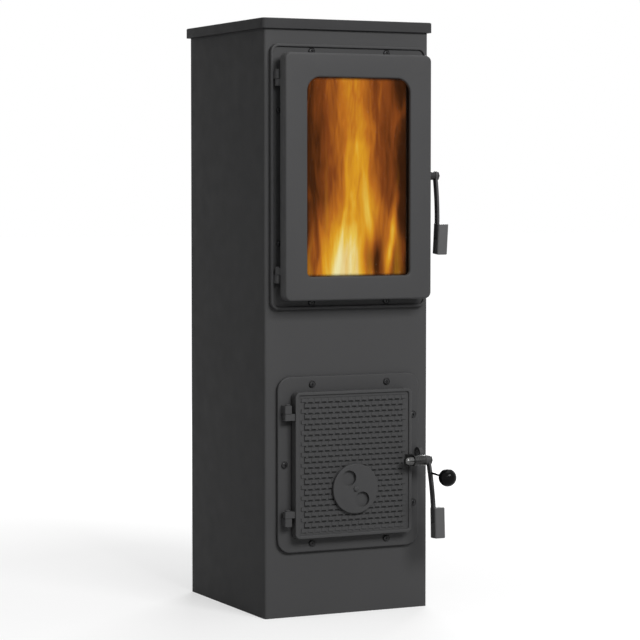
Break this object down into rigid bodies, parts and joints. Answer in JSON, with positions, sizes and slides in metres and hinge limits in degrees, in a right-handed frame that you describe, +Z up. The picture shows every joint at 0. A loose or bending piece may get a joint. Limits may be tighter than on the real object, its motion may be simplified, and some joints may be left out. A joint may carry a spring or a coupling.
{
  "type": "workshop stove",
  "caption": "Tall slim steel workshop stove with a glazed cast fire door above, a cast ash door with a round air rosette and ball-knob latch below, and a rear flue spigot.",
  "frame": {"origin": "middle of the casing's footprint, on the floor", "axes": "+Z up, +X to the right seen from the front, the doors face -Y"},
  "size_m": [0.3273, 0.4952, 1],
  "materials": {
    "casing_paint": "satin",
    "cast_paint": "satin",
    "lever_paint": "satin",
    "bare_steel": "satin",
    "sheet_steel": "matte",
    "raw_cast": "matte",
    "fire_board": "matte",
    "ceramic_glass": "gloss",
    "black_knob": "gloss",
    "glass_fibre": "matte"
  },
  "bodies": {
    "stove": {"casing": "casing_paint", "back_panel": "casing_paint", "back_panel_screws": "casing_paint", "base_plate": "casing_paint", "top_plate": "casing_paint", "fire_frame_gasket": "glass_fibre", "fire_frame": "cast_paint", "fire_frame_screws": "bare_steel", "fire_keeper": "cast_paint", "ash_frame_gasket": "glass_fibre", "ash_frame": "cast_paint", "ash_frame_screws": "bare_steel", "ash_keeper": "cast_paint", "fire_hinge_pins": "bare_steel", "ash_hinge_pins": "bare_steel", "grate_shelf": "sheet_steel", "grate_shelf_rails": "sheet_steel", "grate": "raw_cast", "liner_left": "fire_board", "liner_right": "fire_board", "liner_back": "fire_board", "baffle_plate": "fire_board", "ash_shelf": "sheet_steel", "ash_shelf_rails": "sheet_steel", "flue_spigot": "casing_paint", "flue_screws": "casing_paint"},
    "fire_door": {"fire_door": "cast_paint", "glass_seal": "glass_fibre", "fire_glass": "ceramic_glass", "glass_clips": "bare_steel", "glass_clip_screws": "bare_steel", "fire_door_rope": "glass_fibre", "fire_latch_bush": "bare_steel"},
    "fire_latch": {"fire_latch_shaft": "bare_steel", "fire_latch_tongue": "lever_paint", "fire_latch_lever": "lever_paint", "fire_latch_grip": "lever_paint", "fire_latch_nut": "bare_steel"},
    "ash_door": {"ash_door": "cast_paint", "ash_door_rope": "glass_fibre", "ash_latch_bearing": "bare_steel", "rosette_bolt": "bare_steel", "rosette_nut": "bare_steel"},
    "air_rosette": {"air_rosette": "cast_paint"},
    "ash_latch": {"ash_latch_bolt": "bare_steel", "ash_latch_claw": "lever_paint", "ash_latch_lever": "lever_paint", "ash_latch_grip": "lever_paint", "ash_latch_nut": "bare_steel", "ball_rod": "bare_steel", "ball_knob": "black_knob"},
    "ash_pan": {"ash_pan": "sheet_steel", "ash_pan_handle": "sheet_steel"}
  },
  "joints": [
    {"name": "fire_door_swing", "type": "hinge", "parent": "stove", "child": "fire_door", "pos_m": [-0.136, -0.175, 0.7375], "axis": [0, 0, -1], "range_deg": [0, 120]},
    {"name": "fire_latch_turn", "type": "hinge", "parent": "fire_door", "child": "fire_latch", "pos_m": [0.136, -0.189, 0.74], "axis": [-1, 0, 0], "range_deg": [-11, 70]},
    {"name": "ash_door_swing", "type": "hinge", "parent": "stove", "child": "ash_door", "pos_m": [-0.12, -0.177, 0.2575], "axis": [0, 0, -1], "range_deg": [0, 110]},
    {"name": "ash_latch_turn", "type": "hinge", "parent": "ash_door", "child": "ash_latch", "pos_m": [0.113, -0.204, 0.2585], "axis": [-1, 0, 0], "range_deg": [-10, 75]},
    {"name": "air_rosette_turn", "type": "hinge", "parent": "ash_door", "child": "air_rosette", "pos_m": [0, -0.1883, 0.215], "axis": [0, -1, 0], "continuous": true},
    {"name": "ash_pan_slide", "type": "slide", "parent": "stove", "child": "ash_pan", "axis": [0, -1, 0], "range_m": [0, 0.04]}
  ]
}
